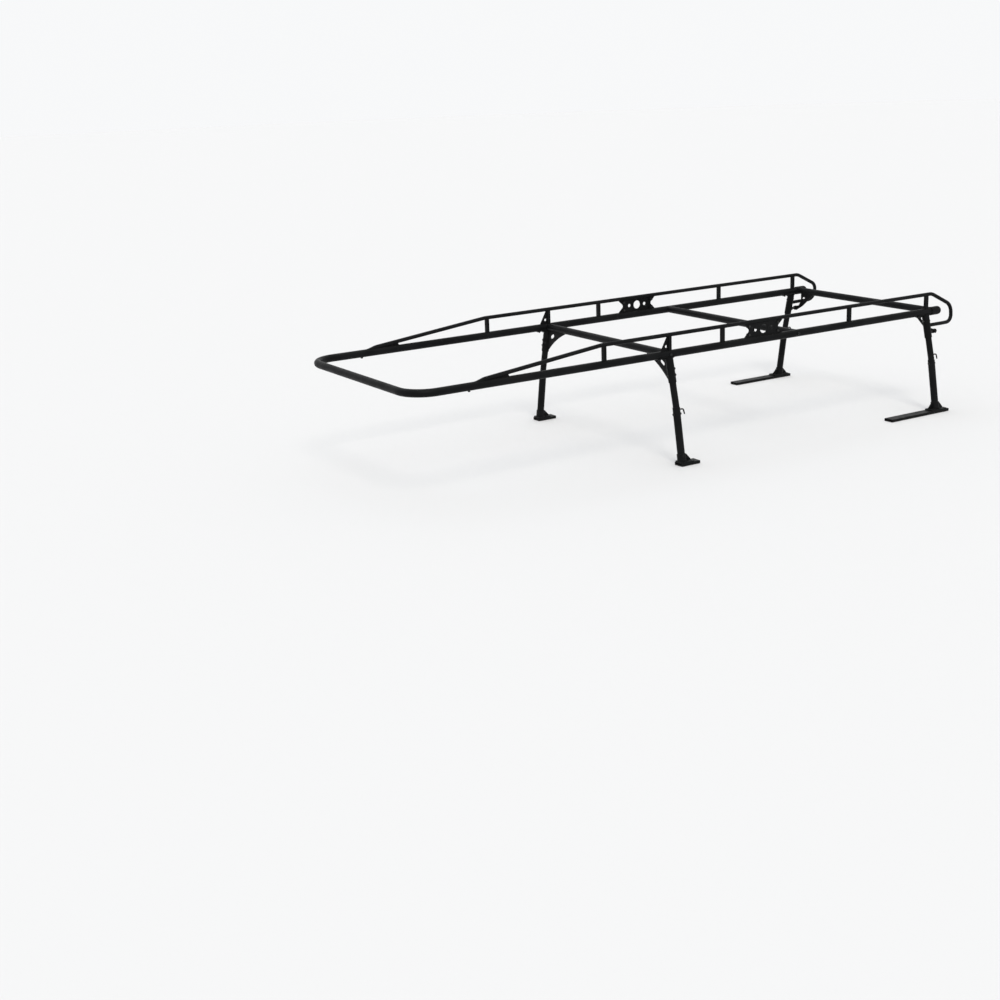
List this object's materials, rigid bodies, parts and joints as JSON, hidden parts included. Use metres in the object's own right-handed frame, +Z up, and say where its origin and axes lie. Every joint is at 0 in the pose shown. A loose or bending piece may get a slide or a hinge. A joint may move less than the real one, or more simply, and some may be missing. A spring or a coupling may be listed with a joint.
{
  "type": "ladder rack",
  "caption": "Over-cab steel ladder rack for a pickup truck, with double side rails, a bow over the cab, splayed legs on base channels and a removable rear crossbar.",
  "frame": {"origin": "centre of the rectangle of the feet and of their inner bolts, on the plane that the base pads stand on", "axes": "+X to the front of the vehicle, +Y to its left side, +Z up"},
  "size_m": [4.5667, 1.78, 0.8623],
  "materials": {
    "black_coated_steel": "satin powder coat",
    "fastener_steel": "black zinc",
    "black_plastic": "moulded matte",
    "nylon": "smooth nylon",
    "rubber": "matte"
  },
  "bodies": {
    "rack_frame": {"base_pads": "rubber", "bow_bolts": "fastener_steel", "cab_bow": "black_coated_steel", "crossbar_bolts": "fastener_steel", "crossbar_end_plugs": "fastener_steel", "front_base_channels": "black_coated_steel", "front_crossbar": "black_coated_steel", "front_webs": "black_coated_steel", "hex_nuts": "fastener_steel", "left_front_foot": "black_coated_steel", "left_front_leg_head": "black_coated_steel", "left_front_lower_leg": "black_coated_steel", "left_front_lower_rail": "black_coated_steel", "left_front_upper_leg": "black_coated_steel", "left_front_upper_rail": "black_coated_steel", "left_rear_foot": "black_coated_steel", "left_rear_leg_head": "black_coated_steel", "left_rear_lower_leg": "black_coated_steel", "left_rear_lower_rail": "black_coated_steel", "left_rear_upper_leg": "black_coated_steel", "left_rear_upper_rail": "black_coated_steel", "left_splice_plate": "black_coated_steel", "left_uprights": "black_coated_steel", "leg_head_bolts": "fastener_steel", "leg_lock_bolts": "fastener_steel", "lock_nuts": "fastener_steel", "lower_rail_sleeves": "fastener_steel", "middle_crossbar": "black_coated_steel", "rail_gussets": "black_coated_steel", "rear_base_channels": "black_coated_steel", "right_front_foot": "black_coated_steel", "right_front_leg_head": "black_coated_steel", "right_front_lower_leg": "black_coated_steel", "right_front_lower_rail": "black_coated_steel", "right_front_upper_leg": "black_coated_steel", "right_front_upper_rail": "black_coated_steel", "right_rear_foot": "black_coated_steel", "right_rear_leg_head": "black_coated_steel", "right_rear_lower_leg": "black_coated_steel", "right_rear_lower_rail": "black_coated_steel", "right_rear_upper_leg": "black_coated_steel", "right_rear_upper_rail": "black_coated_steel", "right_splice_plate": "black_coated_steel", "right_uprights": "black_coated_steel", "saddle_bolts": "fastener_steel", "splice_bolts": "fastener_steel", "splice_tabs": "black_coated_steel", "tie_down_cleats": "black_coated_steel", "upper_rail_sleeves": "fastener_steel"},
    "rear_bar": {"rear_crossbar": "black_coated_steel", "left_end_sleeve": "black_coated_steel", "right_end_sleeve": "black_coated_steel", "sleeve_liners": "nylon", "sleeve_caps": "black_plastic", "left_crossbar_gusset": "black_coated_steel", "right_crossbar_gusset": "black_coated_steel"},
    "left_knob": {"left_knob": "black_plastic", "left_knob_screw": "fastener_steel"},
    "right_knob": {"right_knob": "black_plastic", "right_knob_screw": "fastener_steel"}
  },
  "joints": [
    {"name": "rear_bar_slide", "type": "slide", "parent": "rack_frame", "child": "rear_bar", "axis": [-1, 0, 0], "range_m": [0, 0.06]},
    {"name": "left_knob_turn", "type": "hinge", "parent": "rear_bar", "child": "left_knob", "pos_m": [-1.257, 0.739, 0.578], "axis": [1, 0, 0], "continuous": true},
    {"name": "right_knob_turn", "type": "hinge", "parent": "rear_bar", "child": "right_knob", "pos_m": [-1.257, -0.739, 0.578], "axis": [1, 0, 0], "continuous": true}
  ]
}
